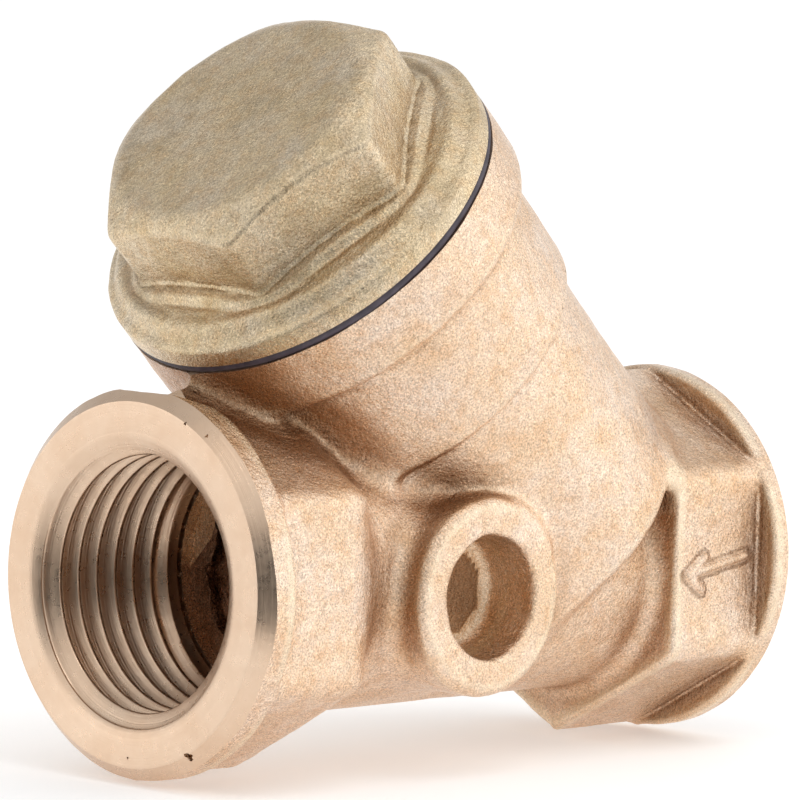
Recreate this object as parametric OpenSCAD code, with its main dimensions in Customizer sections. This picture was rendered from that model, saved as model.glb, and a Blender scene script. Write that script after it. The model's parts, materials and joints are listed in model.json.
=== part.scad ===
// Threaded Y strainer: cast body, screwed hexagon cap, flat gasket and perforated screen.
// Millimetres. X runs along the pipe from the outlet to the inlet, Z is up, and the
// leg rises at leg_angle above the pipe, leaning over the outlet. X = 0 is where the
// outlet's thread starts, just inside its countersink. Flow runs towards -X.

/* [Pipe ends] */
// Distance between the two machined end faces
face_to_face = 57; // [56:0.5:64]
// Radius of the tapped hole's wall, half of the pipe thread's minor diameter
port_r = 9.3155; // [9.0:0.0005:9.6]
// Radius of the countersink at its mouth
countersink_r = 10.9; // [10.3:0.1:11.6]
// Depth of the countersink
countersink_depth = 1; // [0.6:0.1:1.6]
// Outer radius of each machined end face
face_r = 13.25; // [12.6:0.05:13.8]
// Radius of the cast collar behind each end face
collar_r = 14.2; // [14.0:0.1:15.0]
// Axial length of the turned bevel between end face and collar
bevel_length = 1; // [0.5:0.1:1.5]
// Length of the outlet's collar, with its bevel
outlet_collar = 3.1; // [2.6:0.1:4]
// Length of the inlet's collar, with its bevel
inlet_collar = 2.5; // [2:0.1:4]
// Depth of the tap-drill hole in the outlet
outlet_socket = 14.7; // [14:0.1:15.5]
// Depth of the tap-drill hole in the inlet
inlet_socket = 9.4; // [8.6:0.1:9.6]

/* [Hexagon blocks] */
// Width across the flats of both hexagon blocks
body_flats = 24.5; // [23.6:0.1:25.2]
// Radius to which the hexagon corners are rounded down
body_corner_r = 13.9; // [13.2:0.05:14.1]
// Length of the hexagon at the outlet
outlet_hex = 10.5; // [9:0.1:11]
// Length of the hexagon at the inlet
inlet_hex = 9.4; // [8:0.1:10]

/* [Neck and leg] */
// Radius of the round neck between the hexagons
neck_r = 10.4; // [10:0.1:11.2]
// Angle between the leg and the pipe
leg_angle = 45; // [44:0.5:46]
// Distance from the outlet face to the point where the leg's axis meets the pipe's
leg_foot = 42.9; // [42.6:0.1:43.4]
// Radius of the leg's lower barrel
barrel_r = 13.4; // [13:0.1:13.9]
// Height up the leg where the barrel starts
barrel_start = 3.3; // [3:0.1:3.6]
// Radius of the leg's middle ring
ring_b_r = 14.3; // [14:0.1:14.8]
// Height up the leg where the middle ring starts
ring_b_start = 22; // [20:0.2:24]
// Radius of the leg's top ring, the cap's flange and the gasket
ring_a_r = 15.6; // [15.2:0.1:16.2]
// Height up the leg where the top ring starts
ring_a_start = 31.8; // [30.5:0.1:33]
// Height up the leg of its machined mouth
mouth_h = 37.04; // [36:0.02:38]

/* [Side boss] */
// Distance of the boss's centre from the outlet face
boss_x = 24.45; // [23.5:0.05:25.5]
// Height of the boss's centre above the pipe's axis
boss_z = -1.1; // [-1.6:0.1:1]
// Outer radius of the boss
boss_r = 7.4; // [6.8:0.1:8]
// Distance of the boss's face from the pipe's axis
boss_face = 12.8; // [12.2:0.1:13.2]
// Radius of the blind recess cast into the boss
recess_r = 4.5; // [3.5:0.1:5]
// Depth of the blind recess
recess_depth = 4.8; // [3:0.1:4.8]

/* [Waterway] */
// Radius of the outlet's waterway past the boss
outlet_way_r = 6.4; // [5.5:0.1:6.4]
// Radius of the inlet's waterway
inlet_way_r = 8; // [7.4:0.1:8.1]
// Radius of the opening through the seat, inside the screen
seat_hole_r = 7.8; // [7:0.1:8]
// Radius of the leg's bore around the screen
leg_bore_r = 10.5; // [10:0.1:10.8]
// Height up the leg of the slanted partition's inlet side
partition_low = 2.6; // [2.4:0.1:2.8]
// Height up the leg of the bore's floor, on the partition's outlet side
bore_floor = 5.2; // [5:0.1:5.4]
// Depth of the ring-shaped seat sunk into the bore's floor
seat_depth = 1; // [0.6:0.1:1.1]

/* [Cap] */
// Radius of the leg's internal thread wall, half of its minor diameter
cap_thread_r = 11.19; // [11.1:0.01:11.3]
// Radial clearance of the cap's plug and of the screen's two seats
running_gap = 0.05; // [0.03:0.01:0.08]
// Width across the flats of the cap's hexagon
cap_flats = 21.5; // [20.5:0.1:22.5]
// Height of the hexagon's top above the leg's mouth
cap_height = 10.4; // [9.5:0.1:11.5]
// Length of the threaded plug below the leg's mouth
plug_length = 6.4; // [5.5:0.1:6.6]
// Thickness of the cap's flange at its rim
rim_thickness = 1.5; // [1.2:0.1:2]
// Thickness of the gasket as clamped
gasket_thickness = 0.62; // [0.4:0.02:1.2]

/* [Screen] */
// Outer radius of the screen tube
screen_r = 9.15; // [9:0.05:9.3]
// Thickness of the screen's sheet
screen_wall = 0.5; // [0.4:0.05:0.6]
// Radius of one hole in the screen
pore_r = 0.7; // [0.5:0.05:0.8]
// Number of holes in one row around the screen
pores_around = 20; // [8:2:20]
// Number of rows of holes
pore_rows = 9; // [3:1:9]

/* [Hidden] */
$fn = 96;
eps = 0.01;
x0 = -countersink_depth;
x1 = x0 + face_to_face;
foot_x = x0 + leg_foot;
outlet_hex_x = x0 + outlet_collar;
outlet_neck_x = outlet_hex_x + outlet_hex;
inlet_hex_x = x1 - inlet_collar;
inlet_neck_x = inlet_hex_x - inlet_hex;
gasket_low = mouth_h + 0.02;
flange_low = gasket_low + gasket_thickness + 0.02;
plug_low = mouth_h - plug_length;
seat_h = bore_floor - seat_depth;
seat_r = screen_r + running_gap;
screen_low = seat_h + 0.05;
screen_high = plug_low + 4.2;
cap_top = mouth_h + cap_height;
bronze = [0.80, 0.62, 0.47];
brass = [0.70, 0.60, 0.42];
rubber = [0.20, 0.18, 0.20];
steel = [0.72, 0.72, 0.72];

// A cylinder along +X from x = a to x = b.
module along_x(a, b, r) {
    translate([a, 0, 0])
        rotate([0, 90, 0])
            cylinder(h = b - a, r = r);
}

// A solid of revolution about +X, from [x, r] points.
module turned_x(points) {
    rotate([0, 90, 0])
        rotate_extrude()
            polygon([for (p = points) [p[1], p[0]]]);
}

// Children built along +Z are moved onto the leg's axis, with height 0 on the pipe's axis.
module on_leg() {
    translate([foot_x, 0, 0])
        rotate([0, leg_angle - 90, 0])
            children();
}

// A cylinder on the leg's axis from height a to height b.
module leg_cylinder(a, b, r) {
    translate([0, 0, a])
        cylinder(h = b - a, r = r);
}

// A hexagonal prism along +Z with a corner on the -Y side.
module hex_prism(flats, h) {
    rotate([0, 0, 30])
        linear_extrude(h)
            polygon([for (k = [0:5]) flats / sqrt(3) * [cos(60 * k), sin(60 * k)]]);
}

// A hexagon block along X with flats at the front and back and rounded-down corners.
module body_hex(a, b) {
    intersection() {
        translate([a, 0, 0])
            rotate([0, 90, 0])
                rotate([0, 0, 30])
                    hex_prism(body_flats, b - a);
        along_x(a - 1, b + 1, body_corner_r);
    }
}

// Both ends outside: end face, turned bevel and cast collar.
module collars() {
    turned_x([
        [x0, 0],
        [x0, face_r],
        [x0 + bevel_length, collar_r],
        [outlet_hex_x + eps, collar_r],
        [outlet_hex_x + eps, 0]
    ]);
    turned_x([
        [inlet_hex_x - eps, 0],
        [inlet_hex_x - eps, collar_r],
        [x1 - bevel_length, collar_r],
        [x1, face_r],
        [x1, 0]
    ]);
}

// The neck between the hexagons, with a sloped fillet at each end.
module neck() {
    turned_x([
        [outlet_neck_x - eps, 0],
        [outlet_neck_x - eps, neck_r + 1.6],
        [outlet_neck_x + 1.2, neck_r + 0.6],
        [outlet_neck_x + 3.2, neck_r],
        [inlet_neck_x - 3.2, neck_r],
        [inlet_neck_x - 1.2, neck_r + 0.6],
        [inlet_neck_x + eps, neck_r + 1.6],
        [inlet_neck_x + eps, 0]
    ]);
}

// The three stacked rings of the leg, from the barrel's flat end up to the mouth.
module leg_outside() {
    on_leg()
        rotate_extrude()
            polygon([
                [0, barrel_start],
                [barrel_r - 0.6, barrel_start],
                [barrel_r, barrel_start + 0.6],
                [barrel_r, ring_b_start - 0.4],
                [ring_b_r, ring_b_start + 0.5],
                [ring_b_r, ring_a_start - 0.5],
                [ring_a_r, ring_a_start + 0.5],
                [ring_a_r, mouth_h],
                [0, mouth_h]
            ]);
}

// The round boss on the front of the neck.
module boss() {
    translate([x0 + boss_x, 0, boss_z])
        rotate([90, 0, 0])
            rotate_extrude()
                polygon([
                    [0, 8.2],
                    [boss_r, 8.2],
                    [boss_r, boss_face - 0.7],
                    [boss_r - 0.7, boss_face],
                    [0, boss_face]
                ]);
}

// The raised flow arrow on the front flat of the inlet's hexagon, pointing to the outlet.
module flow_arrow() {
    translate([inlet_hex_x - inlet_hex / 2, -body_flats / 2 + 0.2, 0])
        rotate([90, 0, 0])
            linear_extrude(0.5)
                polygon([
                    [-3.4, 0],
                    [-1.2, 1.6],
                    [-0.9, 1.2],
                    [-2.1, 0.35],
                    [3.4, 0.35],
                    [3.4, -0.35],
                    [-2.1, -0.35],
                    [-0.9, -1.2],
                    [-1.2, -1.6]
                ]);
}

// A tapped port: countersink, tap-drill hole and the groove that ends the thread.
module port(mouth, depth, thread_end) {
    s = depth > 0 ? 1 : -1;
    e = mouth + depth;
    g = mouth + thread_end;
    turned_x([
        [mouth - s, 0],
        [mouth - s, countersink_r],
        [mouth, countersink_r],
        [mouth + s * countersink_depth, port_r],
        [g, port_r],
        [g, port_r + 1.2],
        [g + s * 0.9, port_r + 1.2],
        [g + s * 0.9, port_r],
        [e, port_r],
        [e, 0]
    ]);
}

// A half space on the leg's axis: all heights from a to b.
module leg_slab(a, b) {
    on_leg()
        translate([-60, -60, a])
            cube([120, 120, b - a]);
}

// The outlet's waterway, narrowing past the boss, on the outlet side of the partition.
module outlet_way() {
    intersection() {
        turned_x([
            [x0 + outlet_socket - eps, 0],
            [x0 + outlet_socket - eps, outlet_way_r + 1.8],
            [x0 + outlet_socket + 3.6, outlet_way_r],
            [foot_x, outlet_way_r],
            [foot_x, 0]
        ]);
        leg_slab(bore_floor, 80);
    }
}

// The inlet's waterway, ending at the slanted partition.
module inlet_way() {
    intersection() {
        along_x(x0 + 20, x1 - inlet_socket + eps, inlet_way_r);
        leg_slab(-80, partition_low);
    }
}

// The leg's inside: seat opening, seat, bore around the screen, thread wall and mouth.
module leg_inside() {
    on_leg()
        rotate_extrude()
            polygon([
                [0, partition_low - eps],
                [seat_hole_r, partition_low - eps],
                [seat_hole_r, seat_h],
                [seat_r, seat_h],
                [seat_r, bore_floor],
                [leg_bore_r, bore_floor],
                [leg_bore_r, plug_low - 1.6],
                [cap_thread_r + 0.9, plug_low - 1.6],
                [cap_thread_r + 0.9, plug_low - 0.6],
                [cap_thread_r, plug_low - 0.6],
                [cap_thread_r, mouth_h - 0.9],
                [cap_thread_r + 0.9, mouth_h],
                [cap_thread_r + 0.9, mouth_h + 1],
                [0, mouth_h + 1]
            ]);
}

// The blind recess cast into the boss.
module boss_recess() {
    translate([x0 + boss_x, -boss_face + recess_depth, boss_z])
        rotate([90, 0, 0])
            cylinder(h = recess_depth + 1, r = recess_r);
}

module body() {
    color(bronze)
        difference() {
            union() {
                collars();
                body_hex(outlet_hex_x, outlet_neck_x);
                body_hex(inlet_neck_x, inlet_hex_x);
                neck();
                leg_outside();
                boss();
                flow_arrow();
            }
            port(x0, outlet_socket, 11.8);
            port(x1, -inlet_socket, -(inlet_socket - 1.4));
            outlet_way();
            inlet_way();
            leg_inside();
            boss_recess();
        }
}

// The cap's flange, plug and dished top, turned in one piece.
module cap_turned() {
    rotate_extrude()
        polygon([
            [0, plug_low],
            [cap_thread_r - running_gap - 0.6, plug_low],
            [cap_thread_r - running_gap, plug_low + 0.6],
            [cap_thread_r - running_gap, flange_low],
            [ring_a_r, flange_low],
            [ring_a_r, flange_low + rim_thickness - 0.2],
            [ring_a_r - 0.2, flange_low + rim_thickness],
            [ring_a_r - 0.5, flange_low + rim_thickness],
            [cap_flats / sqrt(3) + 0.3, mouth_h + 4],
            [0, mouth_h + 4]
        ]);
}

// The cap's hexagon, with its corners rounded down and its top edge bevelled.
module cap_hex() {
    corner = cap_flats / sqrt(3) - 0.15;
    intersection() {
        translate([0, 0, mouth_h + 2])
            hex_prism(cap_flats, cap_height - 2);
        rotate_extrude()
            polygon([
                [0, mouth_h + 1],
                [corner, mouth_h + 1],
                [corner, cap_top - 1],
                [corner - 1.8, cap_top],
                [0, cap_top]
            ]);
    }
}

// The hollow under the cap: the screen's socket and the cored space above it.
module cap_hollow() {
    rotate_extrude()
        polygon([
            [0, plug_low - 1],
            [seat_r, plug_low - 1],
            [seat_r, screen_high + 0.3],
            [7, screen_high + 0.3],
            [6.6, mouth_h + 5],
            [0, mouth_h + 5]
        ]);
}

module cap() {
    color(brass)
        on_leg()
            difference() {
                union() {
                    cap_turned();
                    cap_hex();
                }
                cap_hollow();
            }
}

module gasket() {
    color(rubber)
        on_leg()
            difference() {
                leg_cylinder(gasket_low, gasket_low + gasket_thickness, ring_a_r);
                leg_cylinder(gasket_low - 1, gasket_low + 2, cap_thread_r + 0.95);
            }
}

// Short radial pins that punch the screen's holes, each row turned half a step.
module pores() {
    pitch = (screen_high - screen_low - 9) / pore_rows;
    for (j = [0:pore_rows - 1]) {
        for (i = [0:pores_around - 1]) {
            rotate([0, 0, (i + 0.5 * (j % 2)) * 360 / pores_around])
                translate([screen_r - 1.2, 0, screen_low + 3 + pitch * (j + 0.5)])
                    rotate([0, 90, 0])
                        cylinder(h = 2, r = pore_r, $fn = 24);
        }
    }
}

module screen() {
    color(steel)
        on_leg()
            difference() {
                leg_cylinder(screen_low, screen_high, screen_r);
                leg_cylinder(screen_low - 1, screen_high + 1, screen_r - screen_wall);
                pores();
            }
}

body();
cap();
gasket();
screen();
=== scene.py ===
"""A threaded bronze Y strainer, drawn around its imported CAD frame.

Shapes are worked out in millimetres and become metres as each mesh is made. The run lies
along X, and the leg's own coordinates are its height h above the run's axis and the two
distances u and v across it.
"""
import json
import math

import bmesh
import bpy
import numpy as np
from mathutils import Matrix, Vector


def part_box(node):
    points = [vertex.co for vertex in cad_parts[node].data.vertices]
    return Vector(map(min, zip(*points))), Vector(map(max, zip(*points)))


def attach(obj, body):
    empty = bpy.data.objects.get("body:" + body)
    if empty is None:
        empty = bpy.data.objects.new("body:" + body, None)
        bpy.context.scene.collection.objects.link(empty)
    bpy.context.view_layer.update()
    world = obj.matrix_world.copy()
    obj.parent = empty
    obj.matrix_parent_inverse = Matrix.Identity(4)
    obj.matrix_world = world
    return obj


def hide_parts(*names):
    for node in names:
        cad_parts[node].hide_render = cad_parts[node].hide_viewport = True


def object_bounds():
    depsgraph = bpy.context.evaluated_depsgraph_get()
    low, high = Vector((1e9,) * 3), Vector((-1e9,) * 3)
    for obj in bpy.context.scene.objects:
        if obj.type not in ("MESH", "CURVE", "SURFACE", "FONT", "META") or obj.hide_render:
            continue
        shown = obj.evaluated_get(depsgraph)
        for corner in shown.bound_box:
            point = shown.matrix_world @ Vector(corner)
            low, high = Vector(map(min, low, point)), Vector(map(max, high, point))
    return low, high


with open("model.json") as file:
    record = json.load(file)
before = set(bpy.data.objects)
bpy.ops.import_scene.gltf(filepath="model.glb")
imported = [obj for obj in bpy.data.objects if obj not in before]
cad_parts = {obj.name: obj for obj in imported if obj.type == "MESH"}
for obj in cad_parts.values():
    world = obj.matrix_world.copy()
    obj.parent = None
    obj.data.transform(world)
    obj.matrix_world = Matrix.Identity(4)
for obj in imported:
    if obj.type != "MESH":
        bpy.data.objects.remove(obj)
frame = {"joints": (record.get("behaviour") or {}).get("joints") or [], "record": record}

cad_low, cad_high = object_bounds()
MM = 0.001

# ---------------------------------------------------------------- sizes from the frame

record = frame["record"]
joints = {j["name"]: j for j in frame["joints"]}
mounts = {m["name"]: m for m in record["mounts"]}


def node_box(node):
    """A CAD node's lowest and highest corner, in millimetres."""
    low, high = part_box(node)
    return np.array(low) / MM, np.array(high) / MM


body_low, body_high = node_box("body")
OUTLET_X = float(body_low[0])
INLET_X = float(body_high[0])
COLLAR_R = -float(body_low[2])
PORT_R = mounts["outlet_port"]["dims"]["r_mm"]

LEG = np.array(joints["cap_turn"]["axis"], float)
LEG /= np.linalg.norm(LEG)
FOOT = np.array(joints["cap_turn"]["pos_m"], float) / MM
SIDE = np.array([0.0, 1.0, 0.0])
TILT = np.cross(LEG, SIDE)


def leg_span(node):
    """The outer radius, and the lowest and highest height up the leg, of a plain ring or tube."""
    low, high = node_box(node)
    radius = high[1]
    return float(radius), float(low[2] / LEG[2] + radius), float(high[2] / LEG[2] - radius)


RING_R, GASKET_LOW, GASKET_HIGH = leg_span("gasket")
SCREEN_R, SCREEN_LOW, SCREEN_HIGH = leg_span("screen")
MOUTH_H = GASKET_LOW - 0.02
FLANGE_LOW = GASKET_HIGH + 0.02

# the numbers of the materials on the casting and on the cap
CAST, MACHINED, CORE = 0, 1, 2

# ---------------------------------------------------------------- distance-field tools


def hypot(a, b):
    """The distance across two right-angled ones."""
    return np.sqrt(a * a + b * b)


def meet(a, b, r):
    """The overlap of two solids, its outer edge rounded to radius r."""
    return np.minimum(np.maximum(a, b), -r) + hypot(np.maximum(a + r, 0), np.maximum(b + r, 0))


def join(a, b, r):
    """The sum of two solids, its inner corner filled to radius r."""
    return np.maximum(np.minimum(a, b), r) - hypot(np.maximum(r - a, 0), np.maximum(r - b, 0))


def rod(rho, t, r, low, high, edge):
    """A round rod of radius r from t = low to t = high with rounded rims."""
    return meet(rho - r, np.abs(t - (low + high) / 2) - (high - low) / 2, edge)


SIN_60 = 0.8660254


def hexagon(across, along, flats, corner):
    """A hexagon with two flats facing along `across`, its corners eased."""
    a = np.abs(across)
    b = np.abs(along)
    slant = 0.5 * np.sqrt(across * across + (0.7 * corner) ** 2) + SIN_60 * b
    return meet(a - flats / 2, slant - flats / 2, corner)


def step_up(t, low, high):
    """0 below low, 1 above high, smooth between."""
    s = np.clip((t - low) / (high - low), 0, 1)
    return s * s * (3 - 2 * s)


LATTICE = np.random.RandomState(7).uniform(-1, 1, 4096).astype(np.float32)


def noise(x, y, z, size, salt=0):
    """Smooth value noise from -1 to 1 with features about `size` millimetres across."""
    cell, blend = [], []
    for c in (x, y, z):
        q = c / size + 100.37
        f = np.floor(q)
        w = q - f
        cell.append(f.astype(np.int64))
        blend.append(w * w * (3 - 2 * w))
    total = 0
    for i in (0, 1):
        for j in (0, 1):
            for k in (0, 1):
                key = ((cell[0] + i) * 73856093) ^ ((cell[1] + j) * 19349663)
                key = key ^ ((cell[2] + k) * 83492791) ^ (salt * 2654435)
                w = blend[0] if i else 1 - blend[0]
                w = w * (blend[1] if j else 1 - blend[1])
                w = w * (blend[2] if k else 1 - blend[2])
                total = total + LATTICE[(key ^ (key >> 13)) & 4095] * w
    return total


def surface_net(field, low, high, step):
    """Vertices and quads of the field's zero surface, one vertex in each crossed cell."""
    axes = [np.arange(a, b + step, step) for a, b in zip(low, high)]
    gx, gy, gz = np.meshgrid(*axes, indexing="ij")
    value = field(gx, gy, gz)
    shape = value.shape
    cells = tuple(n - 1 for n in shape)
    total = np.zeros(cells + (3,))
    count = np.zeros(cells)
    quads = []
    inside = value < 0
    for axis in range(3):
        cut = [slice(None)] * 3
        cut[axis] = slice(0, -1)
        nxt = [slice(None)] * 3
        nxt[axis] = slice(1, None)
        a, b = value[tuple(cut)], value[tuple(nxt)]
        crossed = inside[tuple(cut)] != inside[tuple(nxt)]
        at = np.argwhere(crossed)
        va, vb = a[crossed], b[crossed]
        point = at.astype(float)
        point[:, axis] += va / (va - vb)
        p, q = [k for k in range(3) if k != axis]
        ring = []
        for dp, dq in ((-1, -1), (0, -1), (0, 0), (-1, 0)):
            c = at.copy()
            c[:, p] += dp
            c[:, q] += dq
            np.add.at(total, tuple(c.T), point)
            np.add.at(count, tuple(c.T), 1)
            ring.append(np.ravel_multi_index(tuple(c.T), cells))
        quad = np.stack(ring, 1)
        flip = (va < 0) == (axis == 1)
        quad[flip] = quad[flip][:, ::-1]
        quads.append(quad)
    used = np.flatnonzero(count.ravel())
    number = np.full(count.size, -1)
    number[used] = np.arange(len(used))
    points = total.reshape(-1, 3)[used] / count.ravel()[used][:, None]
    points = points * step + np.array([a[0] for a in axes])
    return points, number[np.concatenate(quads)]


def rises(field, points, eps):
    """The field's rise across each point along X, Y and Z, over twice eps."""
    x, y, z = points.T
    return np.stack(
        [
            field(x + eps, y, z) - field(x - eps, y, z),
            field(x, y + eps, z) - field(x, y - eps, z),
            field(x, y, z + eps) - field(x, y, z - eps),
        ],
        1,
    )


def settle(field, points, rounds=4, reach=0.12, eps=0.02):
    """Moves points along the field's slope onto its zero surface."""
    for _ in range(rounds):
        here = field(*points.T)
        slope = rises(field, points, eps) / (2 * eps)
        steep = np.maximum((slope * slope).sum(1), 0.05)
        points = points - slope * np.clip(here / steep, -reach, reach)[:, None]
    return points


def field_slope(field, points):
    """The field's unit normals at some points."""
    slope = rises(field, points, 0.05)
    return slope / np.maximum(np.linalg.norm(slope, axis=1), 1e-9)[:, None]


def mesh_points(mesh):
    """A mesh's vertices in millimetres."""
    points = np.empty(len(mesh.vertices) * 3)
    mesh.vertices.foreach_get("co", points)
    return points.reshape(-1, 3) / MM


def refine(thing, field, bend, extra=None):
    """Splits the faces over which the surface bends more than an angle, and settles them."""
    mesh = thing.data
    points = mesh_points(mesh)
    normals = field_slope(field, points)
    limit = math.cos(math.radians(bend))
    bm = bmesh.new()
    bm.from_mesh(mesh)
    edges = set()
    for face in bm.faces:
        ring = [v.index for v in face.verts]
        first = normals[ring]
        hot = (first @ first.T).min() < limit
        if not hot and extra is not None:
            hot = extra(points[ring[0]])
        if hot:
            edges.update(face.edges)
    edges = sorted(edges, key=lambda e: e.index)
    bmesh.ops.subdivide_edges(bm, edges=edges, cuts=1, use_grid_fill=True)
    bm.to_mesh(mesh)
    bm.free()
    points = settle(field, mesh_points(mesh), 3)
    mesh.vertices.foreach_set("co", (points * MM).ravel())
    mesh.update()


def make_object(name, points, faces, scale=MM):
    """A mesh object from millimetre points and a list or array of faces."""
    mesh = bpy.data.meshes.new(name)
    rows = faces.tolist() if isinstance(faces, np.ndarray) else faces
    mesh.from_pydata((np.asarray(points) * scale).tolist(), [], rows)
    mesh.validate()
    thing = bpy.data.objects.new(name, mesh)
    bpy.context.scene.collection.objects.link(thing)
    return thing


# ---------------------------------------------------------------- turned solids

X_FRAME = (np.zeros(3), np.array([1.0, 0, 0]), SIDE, np.array([0, 0, 1.0]))
LEG_FRAME = (FOOT, LEG, SIDE, TILT)


def place(axes, along, radius, angle):
    """Points at a distance along an axis, a radius and an angle round it."""
    origin, axis, first, second = axes
    along, radius, angle = np.broadcast_arrays(along, radius, angle)
    return (
        origin
        + along[..., None] * axis
        + (radius * np.cos(angle))[..., None] * first
        + (radius * np.sin(angle))[..., None] * second
    )


def turned(name, axes, profile, sides=128, closed=False):
    """A solid of revolution from (along, radius) points; radius may be a function of the angle.

    An open profile gets a flat disc at each end. A closed one is a ring.
    """
    angle = np.arange(sides) * 2 * math.pi / sides
    rows = []
    for along, radius in profile:
        r = radius(along, angle) if callable(radius) else np.full(sides, float(radius))
        rows.append(place(axes, along, r, angle))
    points = np.concatenate(rows)
    n = len(profile)
    faces = []
    last = n if closed else n - 1
    for i in range(last):
        a, b = i * sides, ((i + 1) % n) * sides
        for k in range(sides):
            m = (k + 1) % sides
            faces.append([a + k, b + k, b + m, a + m])
    if not closed:
        faces.append(list(range(sides)))
        faces.append([(n - 1) * sides + k for k in range(sides)][::-1])
    quads = np.array([f for f in faces if len(f) == 4])
    a, b, c, d = (points[quads[:, k]] - points.mean(0) for k in range(4))
    volume = (np.cross(a, b) * c).sum() + (np.cross(a, c) * d).sum()
    if volume < 0:
        faces = [f[::-1] for f in faces]
    return make_object(name, points, faces)


def thread(low, high, pitch):
    """A thread's radius as a function of place and angle: a right-hand helix, rounded V."""
    middle, half = (low + high) / 2, (high - low) / 2

    def radius(along, angle):
        turn = along / pitch - angle / (2 * math.pi)
        wave = 1.5 * (1 - 4 * np.abs(turn - np.floor(turn) - 0.5))
        return middle + half * wave / (1 + np.abs(wave) ** 6) ** (1 / 6)

    return radius


def stations(low, high, gap):
    """Evenly spaced places from low to high."""
    n = max(2, int(round((high - low) / gap)) + 1)
    return np.linspace(low, high, n)


def carve(thing, tools):
    """Cuts each tool from the object, and removes the tool."""
    for tool in tools:
        cut = thing.modifiers.new("cut", "BOOLEAN")
        cut.operation = "DIFFERENCE"
        cut.solver = "MANIFOLD"
        cut.object = tool
        bpy.context.view_layer.update()
        graph = bpy.context.evaluated_depsgraph_get()
        made = bpy.data.meshes.new_from_object(thing.evaluated_get(graph))
        thing.modifiers.clear()
        old = thing.data
        thing.data = made
        bpy.data.meshes.remove(old)
        spent = tool.data
        bpy.data.objects.remove(tool)
        bpy.data.meshes.remove(spent)


def finish_mesh(thing, sharp_angle, turned_angle=28, border_angle=20):
    """Smooth shading, with the edges that bend more than an angle kept sharp.

    Turned faces keep slighter edges than cast ones, and so does the border between the two.
    """
    mesh = thing.data
    count = len(mesh.polygons)
    mesh.polygons.foreach_set("use_smooth", np.ones(count, bool))
    total = np.empty(count, np.int32)
    material = np.empty(count, np.int32)
    normal = np.empty(count * 3)
    mesh.polygons.foreach_get("loop_total", total)
    mesh.polygons.foreach_get("material_index", material)
    mesh.polygons.foreach_get("normal", normal)
    normal = normal.reshape(-1, 3)
    edge_of = np.empty(len(mesh.loops), np.int32)
    mesh.loops.foreach_get("edge_index", edge_of)
    face_of = np.repeat(np.arange(count), total)
    order = np.argsort(edge_of, kind="stable")
    edge_of, face_of = edge_of[order], face_of[order]
    pair = np.flatnonzero(edge_of[1:] == edge_of[:-1])
    a, b = face_of[pair], face_of[pair + 1]
    bend = np.degrees(np.arccos(np.clip((normal[a] * normal[b]).sum(1), -1, 1)))
    limit = np.where(material[a] != material[b], border_angle, sharp_angle)
    limit = np.where((material[a] == MACHINED) & (material[b] == MACHINED), turned_angle, limit)
    sharp = np.zeros(len(mesh.edges), bool)
    sharp[edge_of[pair][bend > limit]] = True
    mesh.edges.foreach_set("use_edge_sharp", sharp)
    mesh.update()
    return thing


def mark_relief(thing, field, marks=None, reach=1.3, wide=4.5):
    """Stores on each vertex how deep it lies in a tight corner, how far out on an edge, and
    how much of a wide hollow it lies in. `marks` adds to the first, at chosen places.
    """
    mesh = thing.data
    points = mesh_points(mesh)
    slope = field_slope(field, points)
    here = field(*points.T)
    above = field(*(points + slope * reach).T) - here
    below = field(*(points - slope * reach).T) - here
    far = field(*(points + slope * wide).T) - here
    crevice = 1 - above / reach
    if marks is not None:
        crevice = crevice + marks(*points.T)
    # the crevice and hollow values go into the colour as painted shade, the edge value as wear and
    # painted highlight
    for name, value in (
        ("crevice", crevice),
        ("hollow", 1 - far / wide),
        ("edge_rub_and_highlight", 1 + below / reach),
    ):
        layer = mesh.attributes.new(name, "FLOAT", "POINT")
        layer.data.foreach_set("value", np.clip(value, 0, 1).astype(np.float32))


def face_centres(thing):
    """The centres of a mesh's faces in millimetres, and their normals."""
    mesh = thing.data
    centre = np.empty(len(mesh.polygons) * 3)
    normal = np.empty(len(mesh.polygons) * 3)
    mesh.polygons.foreach_get("center", centre)
    mesh.polygons.foreach_get("normal", normal)
    return centre.reshape(-1, 3) / MM, normal.reshape(-1, 3)


def leg_place(x, y, z):
    """Height up the leg, and the two distances across it."""
    dx, dy, dz = x - FOOT[0], y - FOOT[1], z - FOOT[2]
    h = dx * LEG[0] + dy * LEG[1] + dz * LEG[2]
    u = dx * SIDE[0] + dy * SIDE[1] + dz * SIDE[2]
    v = dx * TILT[0] + dy * TILT[1] + dz * TILT[2]
    return h, u, v


# ---------------------------------------------------------------- the body casting

BODY_FLATS, BODY_CORNER = 24.5, 0.75
OUTLET_HEX = (OUTLET_X + 3.1, OUTLET_X + 13.6)
INLET_HEX = (INLET_X - 11.9, INLET_X - 2.5)
COLLAR_EDGE = 0.45
NECK_R = 10.4
# each step up the leg: its radius and the height at which it starts (the top one has the
# gasket's radius)
BARREL_R, BARREL_H = 13.4, 3.3
RING_B_R, RING_B_H = 14.3, 22.2
RING_A_H = 31.9
BOSS_X, BOSS_Z = OUTLET_X + 24.45, -1.1
BOSS_R, BOSS_FACE = 7.4, 12.8
RECESS_R, RECESS_DEPTH = 4.55, 4.7

# the turned ends: the flat face's radius, the bevel's depth, the countersink's radius
FACE_R, BEVEL, COUNTERSINK_R = 13.25, 1.0, 10.9
BEVEL_RISE = (COLLAR_R - FACE_R) / BEVEL
# each port: its face, the way in, the depths of thread, land and cone point, the point's radius
PORTS = ((OUTLET_X, 1.0, 11.8, 13.3, 14.7, 7.4), (INLET_X, -1.0, 7.9, 8.3, 9.4, 7.8))
# behind each land, the groove's width and the radius at which the cone point starts
GROOVE, CONE_R = 0.38, 9.2

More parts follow.
